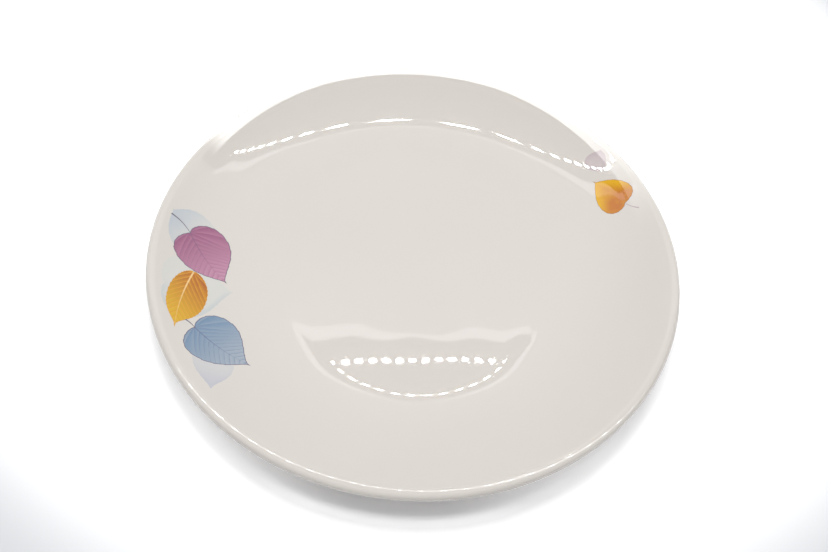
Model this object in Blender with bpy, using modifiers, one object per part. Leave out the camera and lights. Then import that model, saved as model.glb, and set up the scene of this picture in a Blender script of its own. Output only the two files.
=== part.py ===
"""A round glazed dinner plate of the coupe kind: a flat floor, a coved wall, a softly rolled rim and a foot ring.

The whole plate is pressed and fired as one piece of ceramic, so it is one turned solid. Metres, +Z up, with the
origin on the table under the plate's centre.
"""

import math

import bpy

# Driving dimensions
RIM_RADIUS = 0.1355  # outside of the rim
BODY_THICKNESS = 0.0048
FLOOR_RADIUS = 0.070  # flat part of the floor
FLOOR_HEIGHT = 0.0070  # top of the floor above the table
COVE_RADIUS = 0.107  # hollow curve from the floor up into the wall
WALL_SLOPE = math.radians(31)  # steepest part of the wall, from level
ROLL_RADIUS = 0.0052  # rounded top of the rim, more than the thickness
ROLL_DROP = math.radians(6)  # how far past level the rim turns down
FOOT_OUTER_RADIUS = 0.0809
FOOT_INNER_RADIUS = 0.0766
FOOT_EDGE_RADIUS = 0.0008
FOOT_FILLET_RADIUS = 0.0011
RECESS_HEIGHT = 0.0024  # underside inside the foot ring
STEPS_AROUND = 80

GLAZE_COLOUR = (0.72, 0.69, 0.64, 1.0)
GLAZE_ROUGHNESS = 0.12
MERGE_DISTANCE = 0.00005


def clear_scene():
    for old in list(bpy.data.objects):
        bpy.data.objects.remove(old, do_unlink=True)


def arc(centre, radius, start, end, count):
    """Points along an arc in the profile's plane, both ends included; angles from +X towards +Z, in radians."""
    points = []
    for i in range(count + 1):
        angle = start + (end - start) * i / count
        points.append((centre[0] + radius * math.cos(angle), centre[1] + radius * math.sin(angle)))
    return points


def upper_profile():
    """The eating side, from the centre over the rim to where the edge faces outwards and down."""
    up = math.pi / 2
    cove_centre = (FLOOR_RADIUS, FLOOR_HEIGHT + COVE_RADIUS)
    cove = arc(cove_centre, COVE_RADIUS, -up, -up + WALL_SLOPE, 8)

    edge_radius = BODY_THICKNESS / 2
    edge_x = RIM_RADIUS - edge_radius
    roll_x = edge_x - (ROLL_RADIUS - edge_radius) * math.sin(ROLL_DROP)
    roll_start_x = roll_x - ROLL_RADIUS * math.sin(WALL_SLOPE)
    roll_start_z = cove[-1][1] + (roll_start_x - cove[-1][0]) * math.tan(WALL_SLOPE)
    roll_z = roll_start_z - ROLL_RADIUS * math.cos(WALL_SLOPE)
    roll_centre = (roll_x, roll_z)
    roll = arc(roll_centre, ROLL_RADIUS, up + WALL_SLOPE, up, 3)
    roll += arc(roll_centre, ROLL_RADIUS, up, up - ROLL_DROP, 1)[1:]

    edge_centre = (edge_x, roll_z + (ROLL_RADIUS - edge_radius) * math.cos(ROLL_DROP))
    edge = arc(edge_centre, edge_radius, up - ROLL_DROP, 0.0, 4)
    edge += arc(edge_centre, edge_radius, 0.0, -up - ROLL_DROP, 4)[1:]
    return [(0.0, FLOOR_HEIGHT)] + cove + roll + edge[1:], cove_centre, roll_centre


def lower_profile(cove_centre, roll_centre):
    """The underside, from the rim in to the foot ring and the recess inside it."""
    up = math.pi / 2
    under_roll = arc(roll_centre, ROLL_RADIUS - BODY_THICKNESS, up - ROLL_DROP, up + WALL_SLOPE, 2)

    under_radius = COVE_RADIUS + BODY_THICKNESS
    fillet_x = FOOT_OUTER_RADIUS + FOOT_FILLET_RADIUS
    foot_angle = math.asin((fillet_x - FLOOR_RADIUS) / under_radius)
    under_cove = arc(cove_centre, under_radius, -up + WALL_SLOPE, -up + foot_angle, 6)

    fillet_z = under_cove[-1][1] - FOOT_FILLET_RADIUS
    outer_fillet = arc((fillet_x, fillet_z), FOOT_FILLET_RADIUS, up, math.pi, 2)
    outer_edge = arc((FOOT_OUTER_RADIUS - FOOT_EDGE_RADIUS, FOOT_EDGE_RADIUS), FOOT_EDGE_RADIUS, 0, -up, 2)
    inner_edge = arc((FOOT_INNER_RADIUS + FOOT_EDGE_RADIUS, FOOT_EDGE_RADIUS), FOOT_EDGE_RADIUS, -up, -math.pi, 2)
    inner_x = FOOT_INNER_RADIUS - FOOT_EDGE_RADIUS
    inner_z = RECESS_HEIGHT - FOOT_EDGE_RADIUS
    inner_fillet = arc((inner_x, inner_z), FOOT_EDGE_RADIUS, 0, up, 2)
    foot = outer_fillet[1:] + outer_edge + inner_edge + inner_fillet
    return under_roll[1:] + under_cove + foot + [(0.0, RECESS_HEIGHT)]


def glaze_material():
    material = bpy.data.materials.new("cream_glaze")
    material.use_nodes = True
    shader = material.node_tree.nodes["Principled BSDF"]
    shader.inputs["Base Color"].default_value = GLAZE_COLOUR
    shader.inputs["Roughness"].default_value = GLAZE_ROUGHNESS
    shader.inputs["Metallic"].default_value = 0.0
    return material


def make_plate(collection):
    """Spins the closed section round the plate's axis."""
    upper, cove_centre, roll_centre = upper_profile()
    section = upper + lower_profile(cove_centre, roll_centre)
    mesh = bpy.data.meshes.new("plate")
    points = [(x, 0.0, z) for x, z in section]
    mesh.from_pydata(points, [(i, i + 1) for i in range(len(points) - 1)], [])
    plate = bpy.data.objects.new("plate", mesh)
    collection.objects.link(plate)
    plate.data.materials.append(glaze_material())

    spin = plate.modifiers.new("turned", "SCREW")
    spin.axis = "Z"
    spin.angle = 2 * math.pi
    spin.screw_offset = 0.0
    spin.steps = STEPS_AROUND
    spin.render_steps = STEPS_AROUND
    spin.use_merge_vertices = True
    spin.merge_threshold = MERGE_DISTANCE
    spin.use_smooth_shade = True
    return plate


def main():
    clear_scene()
    collection = bpy.data.collections.new("dinner_plate")
    bpy.context.scene.collection.children.link(collection)
    make_plate(collection)


main()
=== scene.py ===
"""Looks of the coupe dinner plate: its glazed body, its printed leaves, and the studio round it.

Lengths are in metres and angles in radians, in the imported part's own frame: +Z up, the plate's axis on Z,
and the table at z = 0.
"""

import math

import bpy
from mathutils import Matrix, Vector, geometry, kdtree


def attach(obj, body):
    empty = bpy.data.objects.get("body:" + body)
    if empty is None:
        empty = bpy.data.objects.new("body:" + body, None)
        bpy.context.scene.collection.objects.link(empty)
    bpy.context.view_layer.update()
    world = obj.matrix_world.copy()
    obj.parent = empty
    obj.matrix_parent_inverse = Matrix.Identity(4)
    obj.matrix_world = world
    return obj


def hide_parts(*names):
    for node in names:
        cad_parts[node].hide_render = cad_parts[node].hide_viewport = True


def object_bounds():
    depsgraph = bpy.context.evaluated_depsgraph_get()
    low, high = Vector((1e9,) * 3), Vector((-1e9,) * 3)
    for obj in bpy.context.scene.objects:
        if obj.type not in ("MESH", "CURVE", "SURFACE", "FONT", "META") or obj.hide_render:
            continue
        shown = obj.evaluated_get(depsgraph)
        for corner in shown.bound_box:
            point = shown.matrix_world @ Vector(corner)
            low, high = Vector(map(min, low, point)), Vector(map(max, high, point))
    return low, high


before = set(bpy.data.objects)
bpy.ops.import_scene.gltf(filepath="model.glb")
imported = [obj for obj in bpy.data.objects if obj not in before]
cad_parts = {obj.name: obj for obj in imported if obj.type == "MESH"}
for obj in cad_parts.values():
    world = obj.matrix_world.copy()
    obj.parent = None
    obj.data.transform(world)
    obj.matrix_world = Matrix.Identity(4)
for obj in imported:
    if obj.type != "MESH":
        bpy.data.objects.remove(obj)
cad_low, cad_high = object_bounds()

MM = 0.001

# The plate's section, as its solid has it.
RIM_RADIUS = cad_high[0]
BODY_THICKNESS = 4.8 * MM
FLOOR_RADIUS = 70 * MM
FLOOR_HEIGHT = 7 * MM
COVE_RADIUS = 107 * MM
WALL_SLOPE = math.radians(31)
ROLL_RADIUS = 5.2 * MM
ROLL_DROP = math.radians(6)
FOOT_OUTER_RADIUS = 80.9 * MM
FOOT_INNER_RADIUS = 76.6 * MM
FOOT_EDGE_RADIUS = 0.8 * MM
FOOT_FILLET_RADIUS = 1.1 * MM
RECESS_HEIGHT = 2.4 * MM

STEPS_AROUND = 320  # round the turned body
SEAM_MERGE = 0.004 * MM  # how close the points are where the turned body closes on itself
UP = math.pi / 2  # an arc's angle at its top, and the tilt of an upright panel


# ---------------------------------------------------------------- shape of the body


def arc(centre, radius, start, end, count):
    """Points of an arc in the section, from one angle to another."""
    points = []
    for i in range(count + 1):
        angle = start + (end - start) * i / count
        points.append((centre[0] + radius * math.cos(angle), centre[1] + radius * math.sin(angle)))
    return points


EDGE_RADIUS = BODY_THICKNESS / 2
EDGE_X = RIM_RADIUS - EDGE_RADIUS
COVE_CENTRE = (FLOOR_RADIUS, FLOOR_HEIGHT + COVE_RADIUS)
COVE_END_X = FLOOR_RADIUS + COVE_RADIUS * math.sin(WALL_SLOPE)
COVE_END_Z = FLOOR_HEIGHT + COVE_RADIUS * (1 - math.cos(WALL_SLOPE))
ROLL_X = EDGE_X - (ROLL_RADIUS - EDGE_RADIUS) * math.sin(ROLL_DROP)
ROLL_START_X = ROLL_X - ROLL_RADIUS * math.sin(WALL_SLOPE)
ROLL_START_Z = COVE_END_Z + (ROLL_START_X - COVE_END_X) * math.tan(WALL_SLOPE)
ROLL_Z = ROLL_START_Z - ROLL_RADIUS * math.cos(WALL_SLOPE)


def section():
    """The whole section, from the centre of the eating side over the rim to the centre underneath."""
    floor = [(share * FLOOR_RADIUS, FLOOR_HEIGHT) for share in (0, 0.04, 0.12, 0.25, 0.4, 0.55, 0.7, 0.85)]
    cove = arc(COVE_CENTRE, COVE_RADIUS, -UP, -UP + WALL_SLOPE, 36)
    roll = arc((ROLL_X, ROLL_Z), ROLL_RADIUS, UP + WALL_SLOPE, UP - ROLL_DROP, 18)
    edge_centre = (EDGE_X, ROLL_Z + (ROLL_RADIUS - EDGE_RADIUS) * math.cos(ROLL_DROP))
    edge = arc(edge_centre, EDGE_RADIUS, UP - ROLL_DROP, -UP - ROLL_DROP, 24)
    under_roll = arc((ROLL_X, ROLL_Z), ROLL_RADIUS - BODY_THICKNESS, UP - ROLL_DROP, UP + WALL_SLOPE, 10)

    under_radius = COVE_RADIUS + BODY_THICKNESS
    fillet_x = FOOT_OUTER_RADIUS + FOOT_FILLET_RADIUS
    foot_angle = math.asin((fillet_x - FLOOR_RADIUS) / under_radius)
    under_cove = arc(COVE_CENTRE, under_radius, -UP + WALL_SLOPE, -UP + foot_angle, 28)
    fillet_z = under_cove[-1][1] - FOOT_FILLET_RADIUS
    r = FOOT_EDGE_RADIUS
    foot = arc((fillet_x, fillet_z), FOOT_FILLET_RADIUS, UP, math.pi, 6)[1:]
    foot += arc((FOOT_OUTER_RADIUS - r, r), r, 0, -UP, 6)
    foot += arc((FOOT_INNER_RADIUS + r, r), r, -UP, -math.pi, 6)
    foot += arc((FOOT_INNER_RADIUS - r, RECESS_HEIGHT - r), r, 0, UP, 6)
    recess = [(share * FOOT_INNER_RADIUS, RECESS_HEIGHT) for share in (0.8, 0.6, 0.4, 0.2, 0.06, 0)]
    return floor + cove + roll + edge[1:] + under_roll[1:] + under_cove + foot + recess


def select_none():
    if bpy.context.object and bpy.context.object.mode != "OBJECT":
        bpy.ops.object.mode_set(mode="OBJECT")
    bpy.ops.object.select_all(action="DESELECT")


def make_body():
    """Draws the section point by point from one corner of a plane, and spins it round the axis."""
    points = section()
    select_none()
    bpy.ops.mesh.primitive_plane_add(size=2 * MM, location=(0, 0, points[0][1]))
    body = bpy.context.object
    body.name = "glazed_body"
    bpy.ops.object.mode_set(mode="EDIT")
    bpy.ops.mesh.select_all(action="SELECT")
    bpy.ops.mesh.merge(type="CENTER")
    for start, end in zip(points, points[1:]):
        step = (end[0] - start[0], 0, end[1] - start[1])
        bpy.ops.mesh.extrude_region_move(TRANSFORM_OT_translate={"value": step})
    bpy.ops.mesh.select_all(action="SELECT")
    bpy.ops.mesh.spin(steps=STEPS_AROUND, angle=2 * math.pi, center=(0, 0, 0), axis=(0, 0, 1))
    bpy.ops.mesh.select_all(action="SELECT")
    bpy.ops.mesh.remove_doubles(threshold=SEAM_MERGE)
    bpy.ops.mesh.normals_make_consistent(inside=False)
    bpy.ops.object.mode_set(mode="OBJECT")
    settle(body)
    bpy.ops.object.shade_smooth()
    return body


def settle(piece):
    """Puts a piece's place into its mesh, so that its object sits at the origin, unturned."""
    piece.data.transform(piece.matrix_world)
    piece.matrix_world = Matrix.Identity(4)


# ---------------------------------------------------------------- shape of the printed leaves

OUTLINE_POINTS = 240
TAIL_WIDTH = 0.014  # half the width of a leaf's narrow tail, in leaf lengths
TAIL_STEPS = 6
TOOTH_DEPTH = 0.011  # in leaf lengths
RING_WIDTHS = (0.012, 0.018, 0.03, 0.04, 0.06, 0.08, 0.1, 0.12, 0.14, 0.14, 0.12, 0.08)
PALE_LIFT = 0.02 * MM  # how high a print's top lies over the glaze
COLOUR_LIFT = 0.04 * MM
STEM_LIFT = 0.055 * MM
STEM_WIDTH = 0.35 * MM
STEM_SWELL = 0.45 * MM  # how much wider a stalk is at its end
PRINT_SINK = 0.03 * MM  # how far a print's underside lies in the glaze
PRINT_CREASE = math.radians(40)  # edges sharper than this stay sharp


def on_glaze(reach, angle, lift):
    """A point over the eating side, at a distance from the centre measured along the glaze."""
    bend = min(max((reach - FLOOR_RADIUS) / COVE_RADIUS, 0.0), WALL_SLOPE)
    straight = max(reach - FLOOR_RADIUS - COVE_RADIUS * WALL_SLOPE, 0.0)
    radius = min(reach, FLOOR_RADIUS) + COVE_RADIUS * math.sin(bend) + straight * math.cos(bend)
    height = FLOOR_HEIGHT + COVE_RADIUS * (1 - math.cos(bend)) + straight * math.sin(bend)
    radius -= lift * math.sin(bend)
    height += lift * math.cos(bend)
    return Vector((radius * math.cos(angle), radius * math.sin(angle), height))


def radius_at(reach):
    """How far from the axis the glaze is at that distance along it."""
    return on_glaze(reach, 0.0, 0.0).x


def bezier(p0, p1, p2, p3, count):
    """Points along a flat curve from p0 to p3."""
    flat = [Vector((p[0], p[1], 0)) for p in (p0, p1, p2, p3)]
    return [(p.x, p.y) for p in geometry.interpolate_bezier(*flat, count)]


def leaf_side(width, lobe, swell, widest, point, tail, count):
    """One side of a heart-shaped leaf of length 1, from its base to the end of its narrow tail."""
    base = bezier((0, 0), (-lobe * 1.1, lobe * 0.5), (widest - swell, width), (widest, width), count // 2)
    last = (0.74 + 0.24 * point, 0.05 + 0.6 * width * point)
    blade = bezier((widest, width), (widest + 0.33, width), last, (1 - tail, TAIL_WIDTH), count // 2 - 4)
    steps = range(1, TAIL_STEPS + 1)
    end = [(1 - tail + tail * i / TAIL_STEPS, TAIL_WIDTH * (1 - i / TAIL_STEPS)) for i in steps]
    return base + blade[1:] + end


def leaf_outline(left, right, widest, teeth, point, tail):
    """The closed outline, round from the base past the left side to the tip and back on the right."""
    half = OUTLINE_POINTS // 2
    up_left = leaf_side(*left, widest, point, tail, half)
    up_right = leaf_side(*right, widest, point, tail, half)
    outline = up_left[:half] + [(1.0, 0.0)] + [(x, -y) for x, y in reversed(up_right[1:half])]
    toothed = []
    for i, (x, y) in enumerate(outline):
        before, after = outline[i - 1], outline[(i + 1) % len(outline)]
        run = Vector((after[0] - before[0], after[1] - before[1])).normalized()
        phase = (min(i, OUTLINE_POINTS - i) / half * teeth) % 1.0
        size = TOOTH_DEPTH * (1 - phase) * math.sin(math.pi * min(i, OUTLINE_POINTS - i) / half)
        toothed.append((x - run.y * size, y + run.x * size))
    return toothed


def nearest_on(outline):
    """A finder of the outline's nearest point, with four points on each of its edges."""
    near = kdtree.KDTree(len(outline) * 4)
    for i, (x, y) in enumerate(outline):
        after = outline[(i + 1) % len(outline)]
        for part in range(4):
            share = part / 4
            near.insert((x + (after[0] - x) * share, y + (after[1] - y) * share, 0), 4 * i + part)
    near.balance()
    return near


def make_leaf(name, reach, angle, heading, length, left, right, widest=0.26, teeth=12, point=0.0, tail=0.03,
              lift=COLOUR_LIFT):
    """A thin printed leaf: a disc ringed by insets, drawn out to the outline and laid on the glaze.

    Each side is its width, how far its lobe reaches back past the base, and how full the lobe is, in leaf
    lengths. leaf_place keeps each point's place along and across the leaf in leaf lengths, and how far
    inside the margin it is in metres.
    """
    select_none()
    bpy.ops.mesh.primitive_circle_add(vertices=OUTLINE_POINTS, radius=1, fill_type="NGON")
    leaf = bpy.context.object
    leaf.name = name
    bpy.ops.object.mode_set(mode="EDIT")
    for width in RING_WIDTHS:
        bpy.ops.mesh.inset(thickness=width)
    bpy.ops.mesh.poke()
    bpy.ops.object.mode_set(mode="OBJECT")

    outline = leaf_outline(left, right, widest, teeth, point, tail)
    near = nearest_on(outline)
    middle = Vector((0.36, 0.4 * (left[0] - right[0]), 0))
    place = leaf.data.attributes.new("leaf_place", "FLOAT_VECTOR", "POINT")
    start_radius = radius_at(reach)
    for vertex in leaf.data.vertices:
        turn = math.atan2(vertex.co.y, vertex.co.x) / (2 * math.pi)
        edge = outline[round(turn * OUTLINE_POINTS) % OUTLINE_POINTS]
        flat = middle.lerp(Vector((*edge, 0)), vertex.co.length)
        place.data[vertex.index].vector = (flat.x, flat.y, near.find(flat)[2] * length)
        out = length * (flat.x * math.cos(heading) - flat.y * math.sin(heading))
        along = length * (flat.x * math.sin(heading) + flat.y * math.cos(heading))
        vertex.co = on_glaze(reach + out, angle + along / start_radius, lift)
    return finish_print(leaf, lift)


def make_stem(name, reach, angle, heading, length, reach_back, bow):
    """A leaf's stalk: a narrow strip that bows away from the leaf's base and thickens at its end."""
    select_none()
    bpy.ops.mesh.primitive_grid_add(x_subdivisions=24, y_subdivisions=2, size=1)
    stem = bpy.context.object
    stem.name = name
    start_radius = radius_at(reach)
    place = stem.data.attributes.new("leaf_place", "FLOAT_VECTOR", "POINT")
    end = Vector(reach_back) * length
    side = Vector((-end.y, end.x)).normalized()
    for vertex in stem.data.vertices:
        share = vertex.co.x + 0.5
        width = STEM_WIDTH + STEM_SWELL * share**2
        flat = end * share + side * (bow * length * math.sin(math.pi * share) + vertex.co.y * width)
        place.data[vertex.index].vector = (share, vertex.co.y, width * (0.5 - abs(vertex.co.y)))
        out = flat.x * math.cos(heading) - flat.y * math.sin(heading)
        along = flat.x * math.sin(heading) + flat.y * math.cos(heading)
        vertex.co = on_glaze(reach + out, angle + along / start_radius, STEM_LIFT)
    return finish_print(stem, STEM_LIFT)


def finish_print(piece, lift):
    """Faces the print up and gives it the thickness of fired ink."""
    bpy.ops.object.mode_set(mode="EDIT")
    bpy.ops.mesh.select_all(action="SELECT")
    bpy.ops.mesh.normals_make_consistent(inside=False)
    bpy.ops.object.mode_set(mode="OBJECT")
    if piece.data.polygons[0].normal.z < 0:
        piece.data.flip_normals()
    bpy.ops.object.modifier_add(type="SOLIDIFY")
    solid = piece.modifiers[-1]
    solid.thickness = lift + PRINT_SINK
    solid.offset = -1
    bpy.ops.object.modifier_apply(modifier=solid.name)
    bpy.ops.object.shade_smooth_by_angle(angle=PRINT_CREASE)
    return piece


# ---------------------------------------------------------------- finishes

GLAZE_ROUGHNESS = 0.025
GLAZE_IOR = 1.52
SKIN_HEIGHT = 0.035 * MM  # from the skin's hollows to its tops
CLAY_ROUGHNESS = 0.85
CLAY_HEIGHT = 0.15 * MM  # the foot is bare clay up to here
GLAZE_START = 0.35 * MM  # and fully glazed from here
FAN_STEP = 0.46  # angle between the veins that fan out of a leaf's base


def socket(group, name, kind, way="INPUT", value=None):
    """Gives a node group an input, or with way="OUTPUT" an output."""
    made = group.interface.new_socket(name=name, in_out=way, socket_type=kind)
    if value is not None:
        made.default_value = value
    return made


class Nodes:
    """Adds nodes to a tree and joins them, so that a formula reads as one line for each step."""

    def __init__(self, tree):
        self.tree = tree

    def add(self, kind, **settings):
        node = self.tree.nodes.new(kind)
        for name, value in settings.items():
            setattr(node, name, value)
        return node

    def feed(self, node, index, value):
        if isinstance(value, bpy.types.NodeSocket):
            self.tree.links.new(value, node.inputs[index])
        elif value is not None:
            node.inputs[index].default_value = value

    def math(self, operation, *values, clamp=False):
        node = self.add("ShaderNodeMath", operation=operation, use_clamp=clamp)
        for i, value in enumerate(values):
            self.feed(node, i, value)
        return node.outputs[0]

    def ramp(self, value, low, high, to_low=0.0, to_high=1.0):
        """A soft change from to_low to to_high while the value goes from low to high."""
        node = self.add("ShaderNodeMapRange", interpolation_type="SMOOTHSTEP")
        for i, item in enumerate((value, low, high, to_low, to_high)):
            self.feed(node, i, item)
        return node.outputs[0]

    def mix(self, share, first, second, blend="MIX"):
        node = self.add("ShaderNodeMix", data_type="RGBA", blend_type=blend)
        self.feed(node, 0, share)
        self.feed(node, 6, first)
        self.feed(node, 7, second)
        return node.outputs[2]

    def noise(self, place, scale, detail=2.0, roughness=0.5):
        node = self.add("ShaderNodeTexNoise")
        self.feed(node, "Vector", place)
        self.feed(node, "Scale", scale)
        self.feed(node, "Detail", detail)
        self.feed(node, "Roughness", roughness)
        return node.outputs["Fac"]


def colour(red, green, blue):
    """A colour from its 0 to 255 screen values."""
    linear = []
    for value in (red, green, blue):
        share = value / 255
        linear.append(share / 12.92 if share <= 0.04045 else ((share + 0.055) / 1.055) ** 2.4)
    return (*linear, 1.0)


def glaze_skin_group():
    """What every glazed surface shares: long waves and fine orange peel in the glass, and soft clouds."""
    group = bpy.data.node_groups.new("glaze_skin", "ShaderNodeTree")
    socket(group, "Place", "NodeSocketVector")
    socket(group, "Height", "NodeSocketFloat", "OUTPUT")
    socket(group, "Cloud", "NodeSocketFloat", "OUTPUT")
    n = Nodes(group)
    place = n.add("NodeGroupInput").outputs["Place"]
    out = n.add("NodeGroupOutput")
    long_waves = n.noise(place, 26.0, 1.0)
    peel = n.noise(place, 190.0, 1.5)
    n.feed(out, "Height", n.math("ADD", long_waves, n.math("MULTIPLY", peel, 0.13)))
    n.feed(out, "Cloud", n.noise(place, 14.0, 3.0))
    return group


def glossy_material(name, tree_maker):
    """A glassy material whose colour tree_maker draws; the skin's bump is the same on every one."""
    material = bpy.data.materials.new(name)
    material.use_nodes = True
    n = Nodes(material.node_tree)
    shader = material.node_tree.nodes["Principled BSDF"]
    place = n.add("ShaderNodeTexCoord").outputs["Object"]
    skin = n.add("ShaderNodeGroup", node_tree=SKIN)
    n.feed(skin, "Place", place)
    bump = n.add("ShaderNodeBump")
    bump.inputs["Strength"].default_value = 1.0
    bump.inputs["Distance"].default_value = SKIN_HEIGHT
    n.feed(bump, "Height", skin.outputs["Height"])
    n.feed(shader, "Normal", bump.outputs["Normal"])
    shader.inputs["Roughness"].default_value = GLAZE_ROUGHNESS
    shader.inputs["IOR"].default_value = GLAZE_IOR
    tree_maker(n, shader, place, skin.outputs["Cloud"])
    return material


SKIN = glaze_skin_group()


def body_finish(n, shader, place, cloud):
    """Warm white glaze, a little darker in soft clouds, and bare clay on the foot's face."""
    parts = n.add("ShaderNodeSeparateXYZ")
    n.feed(parts, 0, place)
    tone = n.mix(cloud, colour(192, 187, 181), colour(189, 184, 178))
    bare = n.ramp(parts.outputs["Z"], CLAY_HEIGHT, GLAZE_START, 1.0, 0.0)
    clay = n.mix(n.noise(place, 900.0, 4.0), colour(214, 200, 178), colour(190, 174, 150))
    n.feed(shader, "Base Color", n.mix(bare, tone, clay))
    n.feed(shader, "Roughness", n.ramp(bare, 0.0, 1.0, GLAZE_ROUGHNESS, CLAY_ROUGHNESS))


def vein_group():
    """Where a leaf's veins run: a midrib, side veins that bow to the tip, and a fan of veins at the base.

    Place is along and across the leaf, in leaf lengths from its base. Vein and Midrib are 1 on their lines,
    and Panel climbs from 0 to 1 from each vein to the next.
    """
    group = bpy.data.node_groups.new("leaf_veins", "ShaderNodeTree")
    for name, value in (("Count", 11.0), ("Slant", 0.75), ("Bow", 0.5), ("Vein", 0.008), ("Midrib", 0.012)):
        socket(group, name, "NodeSocketFloat", value=value)
    socket(group, "Place", "NodeSocketVector")
    for name in ("Vein", "Midrib", "Panel"):
        socket(group, name, "NodeSocketFloat", "OUTPUT")
    n = Nodes(group)
    given = n.add("NodeGroupInput").outputs
    out = n.add("NodeGroupOutput")
    parts = n.add("ShaderNodeSeparateXYZ")
    n.feed(parts, 0, given["Place"])
    side = n.math("ABSOLUTE", parts.outputs["Y"])
    bow = n.math("MULTIPLY", n.math("MULTIPLY", side, side), given["Bow"])
    along = n.math("SUBTRACT", parts.outputs["X"], bow)
    start = n.math("SUBTRACT", along, n.math("MULTIPLY", side, given["Slant"]))

    first = n.math("ARCTAN2", 1.0, given["Slant"])
    turn = n.math("SUBTRACT", n.math("ARCTAN2", side, along), first)
    behind = n.math("DIVIDE", turn, -FAN_STEP)
    ahead = n.math("MULTIPLY", start, given["Count"])
    in_fan = n.math("LESS_THAN", start, 0.0)
    index = n.add("ShaderNodeMix", data_type="FLOAT")
    n.feed(index, 0, in_fan)
    n.feed(index, 2, ahead)
    n.feed(index, 3, behind)
    panel = n.math("FRACT", n.math("ADD", index.outputs[0], 20.0))  # the 20 keeps it from being negative
    off = n.math("SUBTRACT", 0.5, n.math("ABSOLUTE", n.math("SUBTRACT", panel, 0.5)))
    squares = n.math("ADD", n.math("MULTIPLY", side, side), n.math("MULTIPLY", along, along))
    out_from_base = n.math("SQRT", squares)
    spacing = n.add("ShaderNodeMix", data_type="FLOAT")
    n.feed(spacing, 0, in_fan)
    n.feed(spacing, 2, n.math("DIVIDE", 0.75, given["Count"]))
    n.feed(spacing, 3, n.math("MULTIPLY", out_from_base, FAN_STEP))
    far = n.math("MULTIPLY", off, spacing.outputs[0])
    width = n.math("MULTIPLY", given["Vein"], n.ramp(side, 0.0, 0.5, 1.0, 0.35))
    n.feed(out, "Vein", n.ramp(far, n.math("MULTIPLY", width, 0.4), width, 1.0, 0.0))
    rib = n.math("MULTIPLY", given["Midrib"], n.ramp(parts.outputs["X"], 0.0, 1.0, 1.0, 0.25))
    n.feed(out, "Midrib", n.ramp(side, n.math("MULTIPLY", rib, 0.5), rib, 1.0, 0.0))
    n.feed(out, "Panel", panel)
    return group


VEINS = vein_group()


def leaf_colours(base, tip, light, vein, rim, rim_width=0.35, slant=0.75, vein_width=0.008, rib_width=0.012,
                 vein_share=0.8, lean=0.0, rib=None):
    """A leaf's print: base to tip colours, lighter panels between veins, drawn veins and a drawn rim.

    rim_width is in millimetres, lean turns the change from base to tip sideways, and the midrib has the
    veins' colour unless rib gives it one.
    """

    def finish(n, shader, place, cloud):
        leaf_place = n.add("ShaderNodeAttribute", attribute_name="leaf_place").outputs["Vector"]
        veins = n.add("ShaderNodeGroup", node_tree=VEINS)
        n.feed(veins, "Place", leaf_place)
        veins.inputs["Slant"].default_value = slant
        veins.inputs["Vein"].default_value = vein_width
        veins.inputs["Midrib"].default_value = rib_width
        parts = n.add("ShaderNodeSeparateXYZ")
        n.feed(parts, 0, leaf_place)
        way = n.math("ADD", parts.outputs["X"], n.math("MULTIPLY", parts.outputs["Y"], lean))
        wash = n.mix(n.ramp(way, -0.05, 0.95), base, tip)
        speckle = n.noise(place, 420.0, 3.0)
        panel = n.math("MULTIPLY", n.math("POWER", veins.outputs["Panel"], 2.0), 0.85)
        wash = n.mix(panel, wash, light)
        wash = n.mix(n.ramp(speckle, 0.35, 0.75, 0.0, 0.18), wash, light)
        inked = n.ramp(n.noise(leaf_place, 9.0, 2.0), 0.35, 0.6, 0.35, 1.0)
        side = n.math("MULTIPLY", n.math("MULTIPLY", veins.outputs["Vein"], inked), vein_share)
        wash = n.mix(side, wash, vein)
        fade = n.ramp(parts.outputs["X"], 0.1, 1.0, 1.0, 0.4)
        middle = n.math("MULTIPLY", veins.outputs["Midrib"], fade)
        wash = n.mix(n.math("MULTIPLY", middle, min(vein_share + 0.25, 1.0)), wash, rib or vein)
        edge = n.ramp(parts.outputs["Z"], 0.45 * rim_width * MM, rim_width * MM, 1.0, 0.0)
        n.feed(shader, "Base Color", n.mix(edge, wash, rim))

    return finish


def glowing_colours(core, outer, vein, rim):
    """The leaf with a burnt middle: the core's colour at the base and inside, the outer one at the margin."""

    def finish(n, shader, place, cloud):
        leaf_place = n.add("ShaderNodeAttribute", attribute_name="leaf_place").outputs["Vector"]
        veins = n.add("ShaderNodeGroup", node_tree=VEINS)
        n.feed(veins, "Place", leaf_place)
        veins.inputs["Count"].default_value = 16.0
        veins.inputs["Slant"].default_value = 1.0
        parts = n.add("ShaderNodeSeparateXYZ")
        n.feed(parts, 0, leaf_place)
        inward = n.ramp(parts.outputs["Z"], 0.3 * MM, 7.0 * MM)
        at_base = n.ramp(parts.outputs["X"], 0.5, 0.0)
        burnt = n.math("ADD", n.math("MULTIPLY", inward, 0.6), n.math("MULTIPLY", at_base, 0.9), clamp=True)
        burnt = n.math("MULTIPLY", burnt, n.ramp(n.noise(place, 260.0, 3.0), 0.25, 0.6, 0.8, 1.0))
        wash = n.mix(burnt, outer, core)
        lines = n.math("MULTIPLY", n.math("MAXIMUM", veins.outputs["Vein"], veins.outputs["Midrib"]), 0.35)
        wash = n.mix(lines, wash, vein)
        edge = n.ramp(parts.outputs["Z"], 0.12 * MM, 0.3 * MM, 0.8, 0.0)
        n.feed(shader, "Base Color", n.mix(edge, wash, rim))

    return finish


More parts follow.
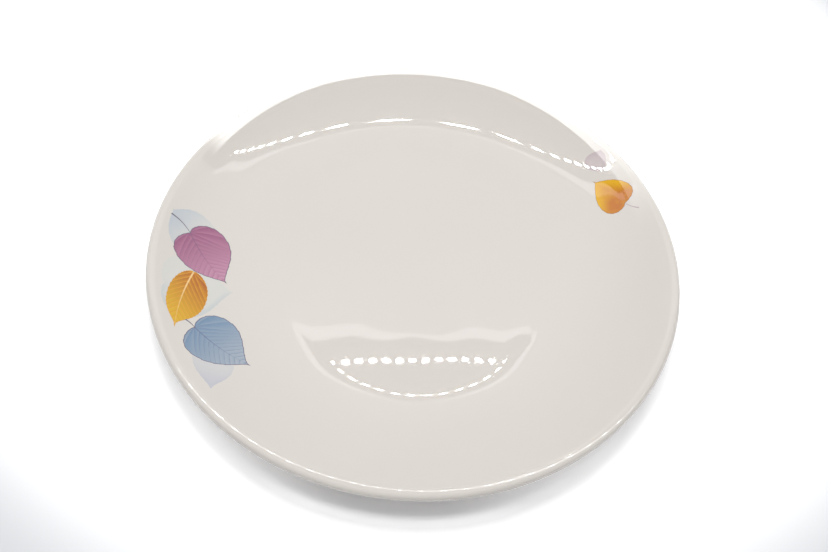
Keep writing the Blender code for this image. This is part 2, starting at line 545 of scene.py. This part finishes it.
def pale_colours(tint, inner, edge_share, tip_share, low_side=0.0):
    """A washed-out leaf behind the others: tinted at its tip and rim, and lost in the glaze at its base.

    The shares say how strong the tint is round the margin, at the tip and along the leaf's lower side.
    """

    def finish(n, shader, place, cloud):
        leaf_place = n.add("ShaderNodeAttribute", attribute_name="leaf_place").outputs["Vector"]
        parts = n.add("ShaderNodeSeparateXYZ")
        n.feed(parts, 0, leaf_place)
        rim = n.ramp(parts.outputs["Z"], 0.0, 3.2 * MM, edge_share, 0.0)
        low = n.ramp(parts.outputs["Y"], 0.05, -0.1, 0.0, low_side)
        low_rim = n.math("MULTIPLY", n.ramp(parts.outputs["Z"], 0.6 * MM, 4.0 * MM, 1.0, 0.0), low)
        rim = n.math("ADD", rim, low_rim)
        tip = n.ramp(parts.outputs["X"], 0.3, 1.0, 0.0, tip_share)
        patchy = n.ramp(n.noise(place, 90.0, 2.0), 0.25, 0.75, 0.7, 1.0)
        share = n.math("MULTIPLY", n.math("ADD", rim, tip), patchy, clamp=True)
        n.feed(shader, "Base Color", n.mix(share, inner, tint))

    return finish


def stem_colours(shade, light):
    """A stalk's print, a little uneven along its run."""

    def finish(n, shader, place, cloud):
        n.feed(shader, "Base Color", n.mix(n.noise(place, 500.0), shade, light))

    return finish


# ---------------------------------------------------------------- the studio

# A straight row of small lamps over the far side of the plate.
REAR_LAMPS = Vector((-5.5, 141.5, 330.1)) * MM  # its middle
REAR_TURN = math.radians(6.9)
LAMP_SPACING = 11.5 * MM
LAMP_COUNT = 19
LAMP_WIDTH = 5.2 * MM
LAMP_DEPTH = 2.8 * MM
LAMP_STRENGTH = 190.0

# A lit cloth and a shelf behind the lamps, with a wall below them and a ceiling above.
REAR_BAR = Vector((0, 159.1, 315.3)) * MM  # the middle of the cloth's front edge
BAR_TURN = math.radians(5.28)
BAR_LENGTH = 214  # in mm, like the next two
SHELF_LENGTH = 1000
SHELF_DEPTH = 50
SHELF_LIFT = 1 * MM
BAR_STRENGTH = 3.3
SHELF_STRENGTH = 1.7
PANEL_WIDTH = 1000 * MM
WALL_FOOT = 200 * MM  # where the wall's shading starts
WALL_TOP = 316 * MM
WALL_FOOT_STRENGTH = 1.3
WALL_TOP_STRENGTH = 1.6
CEILING_STRENGTH = 0.75

# A curved strip over the table behind the plate. Its inner edge is nearest to the axis at its two ends.
RIM_GLOW_STRENGTH = 9.0
RIM_GLOW_HEIGHT = 36 * MM
RIM_GLOW_START = math.radians(18)
RIM_GLOW_END = math.radians(152)
RIM_GLOW_INNER = 128.6  # in mm, like the next two
RIM_GLOW_OUTER = 165
RIM_GLOW_BOW = 5.6  # how much nearer the inner edge is, 45 degrees from its middle
RIM_GLOW_MIDDLE = 95  # in degrees

# A thin curved strip close over the near rim.
NEAR_BEADS = 27
NEAR_LINE_STRENGTH = 5.5  # between the beads
NEAR_BEAD_STRENGTH = 22.0
NEAR_GLOW_HEIGHT = 30.5 * MM
NEAR_GLOW_START = math.radians(-148)
NEAR_GLOW_END = math.radians(-28)
NEAR_GLOW_RADIUS = 126.8  # in mm, like the next two
NEAR_GLOW_WIDTH = 1.4
NEAR_GLOW_FLARE = 0.039  # how fast the strip moves outwards away from its middle
NEAR_GLOW_MIDDLE = -97  # in degrees

OVERHEAD_SPOT = (-0.02, 0.0, 1.2)
OVERHEAD_SIZE = 0.7
OVERHEAD_STRENGTH = 8.25

SKY_LOW = 0.56
SKY_TOP = 0.78
SKY_SIDE = 0.75  # share of the fill that comes from straight left and right

PAPER_TONE = (0.96, 0.96, 0.97, 1)
# the paper's colour where painted shade stands in for light falling off far from the plate
FAR_PAPER_PAINTED_SHADE = (0.55, 0.56, 0.575, 1)
PAPER_CENTRE = (0, 120 * MM, 0)
PAPER_FADE = 255 * MM  # how far from its centre the painted shade on the paper starts
PAPER_END = 335 * MM  # and where the painted shade is darkest

CAMERA_SPOT = Vector((0, -312.7, 430.4)) * MM
CAMERA_AIM = Vector((0.17, -16.78, 26.04)) * MM
CAMERA_ROLL = math.radians(5.42)
CAMERA_LENS = 43.48  # in mm, for a sensor 36 mm wide


def plain_glow(name, tone, strength):
    """A light of one colour and one strength."""
    material = bpy.data.materials.new(name)
    material.use_nodes = True
    tree = material.node_tree
    tree.nodes.remove(tree.nodes["Principled BSDF"])
    glow = tree.nodes.new("ShaderNodeEmission")
    glow.inputs["Color"].default_value = tone
    glow.inputs["Strength"].default_value = strength
    tree.links.new(glow.outputs[0], tree.nodes["Material Output"].inputs[0])
    return material


def only_mirrored(panel):
    """Lets the glaze mirror a studio piece that neither lights the scene nor is seen."""
    panel.visible_camera = False
    panel.visible_shadow = False
    panel.visible_diffuse = False


def glow_panel(name, centre, size, tilt, material):
    """A bright rectangle that the glaze mirrors; it is level before the tilt."""
    select_none()
    bpy.ops.mesh.primitive_plane_add(size=1)
    panel = bpy.context.object
    panel.name = name
    placing = Matrix.Translation(centre) @ Matrix.Rotation(BAR_TURN, 4, "Z") @ Matrix.Rotation(tilt, 4, "X")
    panel.data.transform(placing @ Matrix.Diagonal((size[0], size[1], 1, 1)))
    panel.data.materials.append(material)
    only_mirrored(panel)


def rear_lamps():
    """A straight row of small lamps."""
    select_none()
    bpy.ops.mesh.primitive_plane_add(size=1)
    row = bpy.context.object
    row.name = "rear_lamps"
    row.data.transform(Matrix.Diagonal((LAMP_WIDTH, LAMP_DEPTH, 1, 1)))
    bpy.ops.object.modifier_add(type="ARRAY")
    array = row.modifiers[-1]
    array.count = LAMP_COUNT
    array.use_relative_offset = False
    array.use_constant_offset = True
    array.constant_offset_displace = (LAMP_SPACING, 0, 0)
    bpy.ops.object.modifier_apply(modifier=array.name)
    centring = Matrix.Translation((-(LAMP_COUNT - 1) / 2 * LAMP_SPACING, 0, 0))
    row.data.transform(Matrix.Translation(REAR_LAMPS) @ Matrix.Rotation(REAR_TURN, 4, "Z") @ centring)
    row.data.materials.append(plain_glow("lamp_glow", (1, 0.99, 0.97, 1), LAMP_STRENGTH))
    only_mirrored(row)


def shaded_glow(name, strength_of):
    """A light whose strength is drawn from where on it the light leaves."""
    material = plain_glow(name, (1, 1, 1, 1), 1.0)
    n = Nodes(material.node_tree)
    glow = material.node_tree.nodes["Emission"]
    n.feed(glow, "Strength", strength_of(n, n.add("ShaderNodeTexCoord")))
    return material


def see_through(material):
    """Adds what lies behind a light to it, so that the light blocks nothing where it fades out."""
    tree = material.node_tree
    clear = tree.nodes.new("ShaderNodeBsdfTransparent")
    both = tree.nodes.new("ShaderNodeAddShader")
    tree.links.new(tree.nodes["Emission"].outputs[0], both.inputs[0])
    tree.links.new(clear.outputs[0], both.inputs[1])
    tree.links.new(both.outputs[0], tree.nodes["Material Output"].inputs[0])
    return material


def wall_strength(n, places):
    """A little brighter towards the top."""
    parts = n.add("ShaderNodeSeparateXYZ")
    n.feed(parts, 0, places.outputs["Object"])
    return n.ramp(parts.outputs["Z"], WALL_FOOT, WALL_TOP, WALL_FOOT_STRENGTH, WALL_TOP_STRENGTH)


def rim_strength(n, places):
    """Even along the middle of the far strip and gone at both ends."""
    parts = n.add("ShaderNodeSeparateXYZ")
    n.feed(parts, 0, places.outputs["UV"])
    right = n.ramp(parts.outputs["X"], 0.0, 0.3)
    left = n.ramp(parts.outputs["X"], 1.0, 0.94)
    return n.math("MULTIPLY", n.math("MULTIPLY", right, left), RIM_GLOW_STRENGTH)


def rim_glow():
    """The lit table edge behind the plate, a curved strip that only the far side of the rim mirrors."""
    select_none()
    bpy.ops.mesh.primitive_grid_add(x_subdivisions=64, y_subdivisions=4, size=1)
    strip = bpy.context.object
    strip.name = "rim_glow"
    for vertex in strip.data.vertices:
        angle = RIM_GLOW_START + (RIM_GLOW_END - RIM_GLOW_START) * (vertex.co.x + 0.5)
        inner = RIM_GLOW_INNER - RIM_GLOW_BOW * (math.degrees(angle) / 45 - RIM_GLOW_MIDDLE / 45) ** 2
        radius = (inner + (RIM_GLOW_OUTER - inner) * (vertex.co.y + 0.5)) * MM
        vertex.co = (radius * math.cos(angle), radius * math.sin(angle), RIM_GLOW_HEIGHT)
    strip.data.materials.append(see_through(shaded_glow("rim_light", rim_strength)))
    only_mirrored(strip)


def near_strength(n, places):
    """Beads of light on a steady line that fades out at both ends."""
    parts = n.add("ShaderNodeSeparateXYZ")
    n.feed(parts, 0, places.outputs["UV"])
    wave = n.math("SINE", n.math("MULTIPLY", parts.outputs["X"], 2 * math.pi * NEAR_BEADS))
    beads = n.ramp(wave, 0.3, 0.95, NEAR_LINE_STRENGTH, NEAR_BEAD_STRENGTH)
    left = n.ramp(parts.outputs["X"], 0.0, 0.1)
    right = n.ramp(parts.outputs["X"], 1.0, 0.85)
    return n.math("MULTIPLY", beads, n.math("MULTIPLY", left, right))


def near_glow():
    """A thin beaded line of light so low over the near rim that only the rim's roll mirrors it."""
    select_none()
    bpy.ops.mesh.primitive_grid_add(x_subdivisions=96, y_subdivisions=2, size=1)
    strip = bpy.context.object
    strip.name = "near_glow"
    for vertex in strip.data.vertices:
        angle = NEAR_GLOW_START + (NEAR_GLOW_END - NEAR_GLOW_START) * (vertex.co.x + 0.5)
        middle = NEAR_GLOW_RADIUS + NEAR_GLOW_FLARE * abs(math.degrees(angle) - NEAR_GLOW_MIDDLE) ** 1.3
        radius = (middle + NEAR_GLOW_WIDTH * vertex.co.y) * MM
        vertex.co = (radius * math.cos(angle), radius * math.sin(angle), NEAR_GLOW_HEIGHT)
    strip.data.materials.append(see_through(shaded_glow("near_light", near_strength)))
    only_mirrored(strip)


def between(value, start, end):
    """0 before start, 1 after end and a straight climb from one to the other."""
    return min(max((value - start) / (end - start), 0.0), 1.0)


def bar_front(x):
    """How far back the cloth's front edge hangs, in mm: slack in waves, and gathered back at both ends."""
    gathered = 8 * between(abs(x), 82, 97)
    slack = 1.8 * math.sin(x / 8.5 + 1)
    return gathered + slack - 4


def cloth(name, length, lift, depth_of, material):
    """A level strip behind the lamps, from the cloth's front edge back; length and depth are in mm."""
    select_none()
    bpy.ops.mesh.primitive_grid_add(x_subdivisions=round(length / 2.5), y_subdivisions=2, size=1)
    strip = bpy.context.object
    strip.name = name
    for vertex in strip.data.vertices:
        x = length * vertex.co.x
        vertex.co = (x * MM, (bar_front(x) + depth_of(x) * (vertex.co.y + 0.5)) * MM, lift)
    strip.data.transform(Matrix.Translation(REAR_BAR) @ Matrix.Rotation(BAR_TURN, 4, "Z"))
    strip.data.materials.append(material)
    only_mirrored(strip)


def bar_depth(x):
    """The cloth's depth in mm: narrow in the middle, wider on both sides and a little less at both ends."""
    depth = 4 + 9 * between(-x, 0, 40) + 7 * between(x, 20, 50)
    return depth * (1 - 0.35 * between(abs(x), 80, 96))


def overhead_glow():
    """The key light: a wide soft lamp high over the table."""
    select_none()
    bpy.ops.mesh.primitive_plane_add(size=OVERHEAD_SIZE, location=OVERHEAD_SPOT)
    lamp = bpy.context.object
    lamp.name = "overhead"
    settle(lamp)
    lamp.data.materials.append(plain_glow("overhead_glow", (1, 0.995, 0.985, 1), OVERHEAD_STRENGTH))
    lamp.visible_camera = False
    lamp.visible_glossy = False


def make_sky():
    """Soft fill light, a little stronger overhead and weaker from left and right."""
    world = bpy.data.worlds.new("studio")
    bpy.context.scene.world = world
    world.use_nodes = True
    back = world.node_tree.nodes["Background"]
    back.inputs["Color"].default_value = (0.97, 0.98, 1.0, 1)
    n = Nodes(world.node_tree)
    parts = n.add("ShaderNodeSeparateXYZ")
    n.feed(parts, 0, n.add("ShaderNodeTexCoord").outputs["Generated"])
    rise = n.ramp(parts.outputs["Z"], 0.0, 1.0, SKY_LOW, SKY_TOP)
    sides = n.ramp(n.math("ABSOLUTE", parts.outputs["X"]), 0.3, 1.0, 1.0, SKY_SIDE)
    n.feed(back, "Strength", n.math("MULTIPLY", rise, sides))


def painted_paper_light(n, place):
    """Painted light on the paper beside the plate and under its rim, standing in for thrown-back light that
    softens the shadow.
    """
    parts = n.add("ShaderNodeSeparateXYZ")
    n.feed(parts, 0, place)
    aside = n.math("ABSOLUTE", parts.outputs["X"])
    length = n.add("ShaderNodeVectorMath", operation="LENGTH")
    n.feed(length, 0, place)
    reach = length.outputs["Value"]

    left = n.ramp(parts.outputs["X"], -55 * MM, -110 * MM, 0.0, 0.13)
    right = n.ramp(parts.outputs["X"], 60 * MM, 120 * MM, 0.0, 0.07)
    past_rim = n.ramp(reach, 134 * MM, 146 * MM, 0.35, 1.0)
    sides = n.math("MULTIPLY", n.math("ADD", left, right), past_rim)

    climb = n.ramp(aside, 15 * MM, 80 * MM, 0.0, 0.175)
    fall = n.ramp(aside, 90 * MM, 135 * MM, 1.0, 0.0)
    inner = n.ramp(reach, 114 * MM, 124 * MM)
    outer = n.ramp(reach, 133 * MM, 138 * MM, 1.0, 0.0)
    under_rim = n.math("MULTIPLY", n.math("MULTIPLY", climb, fall), n.math("MULTIPLY", inner, outer))

    middle = n.ramp(aside, 35 * MM, 70 * MM, 0.15, 0.0)
    inner = n.ramp(reach, 132 * MM, 136 * MM)
    outer = n.ramp(reach, 135.5 * MM, 139 * MM, 1.0, 0.0)
    at_rim = n.math("MULTIPLY", middle, n.math("MULTIPLY", inner, outer))
    return n.math("ADD", sides, n.math("ADD", at_rim, under_rim))


def white_paper():
    """White paper with painted shade far from the plate and a little painted light glowing round it."""
    paper = bpy.data.materials.new("white_paper")
    paper.use_nodes = True
    shader = paper.node_tree.nodes["Principled BSDF"]
    n = Nodes(paper.node_tree)
    place = n.add("ShaderNodeTexCoord").outputs["Object"]
    spread = n.add("ShaderNodeVectorMath", operation="DISTANCE")
    n.feed(spread, 0, place)
    spread.inputs[1].default_value = PAPER_CENTRE
    # painted shade: the paper's colour darkens away from the plate, in place of light falling off
    far = n.ramp(spread.outputs["Value"], PAPER_FADE, PAPER_END)
    n.feed(shader, "Base Color", n.mix(far, PAPER_TONE, FAR_PAPER_PAINTED_SHADE))
    # painted light: the paper glows a little where bounced light would soften the plate's shadow
    glow = n.math("MULTIPLY", painted_paper_light(n, place), n.math("SUBTRACT", 1.0, far))
    n.feed(shader, "Emission Color", n.mix(glow, (0, 0, 0, 1), (1, 1, 1, 1)))
    shader.inputs["Emission Strength"].default_value = 1.0
    shader.inputs["Roughness"].default_value = 0.9
    shader.inputs["Specular IOR Level"].default_value = 0.0
    return paper


def make_studio():
    scene = bpy.context.scene
    scene.view_settings.view_transform = "Standard"
    scene.view_settings.look = "None"
    make_sky()

    select_none()
    bpy.ops.mesh.primitive_plane_add(size=6)
    floor = bpy.context.object
    floor.name = "floor"
    floor.data.materials.append(white_paper())

    overhead_glow()
    rear_lamps()
    bar_glow = plain_glow("bar_glow", (0.99, 0.97, 1, 1), BAR_STRENGTH)
    cloth("rear_bar", BAR_LENGTH, 0.0, bar_depth, bar_glow)
    shelf_glow = plain_glow("shelf_glow", (1, 1, 1, 1), SHELF_STRENGTH)
    cloth("rear_shelf", SHELF_LENGTH, SHELF_LIFT, lambda x: SHELF_DEPTH, shelf_glow)
    rim_glow()
    near_glow()
    wall_glow = shaded_glow("wall_glow", wall_strength)
    glow_panel("back_wall", Vector((0, 187, 158)) * MM, (PANEL_WIDTH, 314 * MM), UP, wall_glow)
    ceiling_glow = plain_glow("ceiling_glow", (1, 1, 1, 1), CEILING_STRENGTH)
    glow_panel("ceiling", Vector((0, -20, 346)) * MM, (PANEL_WIDTH, 480 * MM), 0.0, ceiling_glow)


def make_camera():
    data = bpy.data.cameras.new("camera")
    data.sensor_fit = "HORIZONTAL"
    data.sensor_width = 36.0
    data.lens = CAMERA_LENS
    data.clip_start = 0.01
    camera = bpy.data.objects.new("camera", data)
    bpy.context.scene.collection.objects.link(camera)
    forward = (CAMERA_AIM - CAMERA_SPOT).normalized()
    right = forward.cross(Vector((0, 0, 1))).normalized()
    up = right.cross(forward)
    across = math.cos(CAMERA_ROLL) * right + math.sin(CAMERA_ROLL) * up
    top = math.cos(CAMERA_ROLL) * up - math.sin(CAMERA_ROLL) * right
    turned = Matrix((across, top, -forward)).transposed().to_4x4()
    camera.matrix_world = Matrix.Translation(CAMERA_SPOT) @ turned
    bpy.context.scene.camera = camera


# ---------------------------------------------------------------- the object


def add_print(piece, material):
    """Says what a print is made of and what it rides on."""
    piece.data.materials.append(material)
    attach(piece, "root")


def leaf_spot(reach, angle, heading, length):
    """Where a leaf's base lies, its turn from straight outwards and its length, from mm and degrees."""
    turns = dict(angle=math.radians(angle), heading=math.radians(heading))
    return dict(reach=reach * MM, length=length * MM, **turns)


body = make_body()
body.data.materials.append(glossy_material("cream_glaze", body_finish))
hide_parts("plate")
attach(body, "root")

MAUVE = leaf_spot(119.4, 178.4, 126.9, 36.9)
ORANGE = leaf_spot(114.3, -169.8, 66.5, 36.8)
BLUE = leaf_spot(118.3, -152.5, 118.1, 35.4)
PALE_A = leaf_spot(103.7, -176.7, -30.2, 32.7)
PALE_B = leaf_spot(129.4, -164.9, 176.5, 35.1)
PALE_C = leaf_spot(112.0, -146.0, 53.4, 27.4)
PALE_D = leaf_spot(122.6, 36.8, 39.6, 12.8)
YELLOW = leaf_spot(123.8, 24.2, 106.7, 24.2)

pale_a = make_leaf("pale_leaf_by_mauve", **PALE_A, left=(0.36, 0.04, 0.42), right=(0.37, 0.04, 0.42),
                   widest=0.45, point=0.6, lift=PALE_LIFT)
add_print(pale_a, glossy_material("pale_blue_print", pale_colours(
    colour(146, 159, 176), colour(187, 185, 180), edge_share=0.08, tip_share=0.65)))
pale_b = make_leaf("pale_leaf_by_orange", **PALE_B, left=(0.58, 0.08, 0.42), right=(0.57, 0.08, 0.42),
                   widest=0.30, point=0.3, lift=PALE_LIFT)
add_print(pale_b, glossy_material("pale_grey_print", pale_colours(
    colour(164, 171, 175), colour(187, 186, 181), edge_share=0.06, tip_share=0.06, low_side=0.55)))
pale_c = make_leaf("pale_leaf_by_blue", **PALE_C, left=(0.38, 0.08, 0.42), right=(0.34, 0.08, 0.42),
                   widest=0.36, point=0.2, lift=PALE_LIFT)
add_print(pale_c, glossy_material("pale_lilac_print", pale_colours(
    colour(168, 168, 178), colour(182, 181, 180), edge_share=0.2, tip_share=0.8)))
pale_d = make_leaf("pale_leaf_by_yellow", **PALE_D, left=(0.62, 0.05, 0.42), right=(0.30, 0.05, 0.42),
                   widest=0.42, point=0.5, lift=PALE_LIFT)
add_print(pale_d, glossy_material("pale_pink_print", pale_colours(
    colour(170, 156, 160), colour(182, 172, 172), edge_share=0.4, tip_share=0.6)))

mauve = make_leaf("mauve_leaf", **MAUVE, left=(0.465, 0.12, 0.38), right=(0.35, 0.0, 0.3), point=0.24,
                  tail=0.06)
add_print(mauve, glossy_material("mauve_print", leaf_colours(
    base=colour(130, 72, 104), tip=colour(172, 126, 148), light=colour(156, 102, 130),
    vein=colour(118, 76, 106), rim=colour(96, 82, 104), rim_width=0.5, vein_share=0.4)))
orange = make_leaf("orange_leaf", **ORANGE, left=(0.325, 0.05, 0.38), right=(0.2, 0.03, 0.36), widest=0.42,
                   teeth=24, point=0.25, tail=0.07)
add_print(orange, glossy_material("orange_print", leaf_colours(
    base=colour(150, 76, 4), tip=colour(196, 158, 0), light=colour(188, 128, 0),
    vein=colour(206, 152, 34), rim=colour(186, 132, 10), rib=colour(220, 188, 130),
    slant=1.05, rib_width=0.015, vein_width=0.009, vein_share=0.6, lean=-0.5)))
blue = make_leaf("blue_leaf", **BLUE, left=(0.48, 0.1, 0.4), right=(0.395, 0.04, 0.24), widest=0.24,
                 point=0.2, tail=0.06)
add_print(blue, glossy_material("blue_print", leaf_colours(
    base=colour(96, 122, 148), tip=colour(148, 156, 165), light=colour(124, 140, 156),
    vein=colour(92, 100, 130), rim=colour(96, 88, 112), rim_width=0.5, vein_share=0.5)))
yellow = make_leaf("yellow_leaf", **YELLOW, left=(0.445, 0.07, 0.38), right=(0.4, 0.0, 0.28), widest=0.24,
                   point=0.32, tail=0.08)
add_print(yellow, glossy_material("yellow_print", glowing_colours(
    core=colour(172, 98, 14), outer=colour(202, 154, 0), vein=colour(180, 116, 30),
    rim=colour(122, 90, 56))))

stalk = glossy_material("stalk_print", stem_colours(colour(88, 88, 100), colour(108, 98, 112)))
add_print(make_stem("mauve_stem", **MAUVE, reach_back=(-0.33, -0.17), bow=-0.03), stalk)
add_print(make_stem("blue_stem", **BLUE, reach_back=(-0.17, -0.02), bow=-0.01), stalk)
pale_stalk = glossy_material("pale_stalk_print", stem_colours(colour(158, 140, 144), colour(170, 158, 160)))
add_print(make_stem("yellow_stem", **YELLOW, reach_back=(-0.33, -0.13), bow=-0.02), pale_stalk)

make_studio()
make_camera()
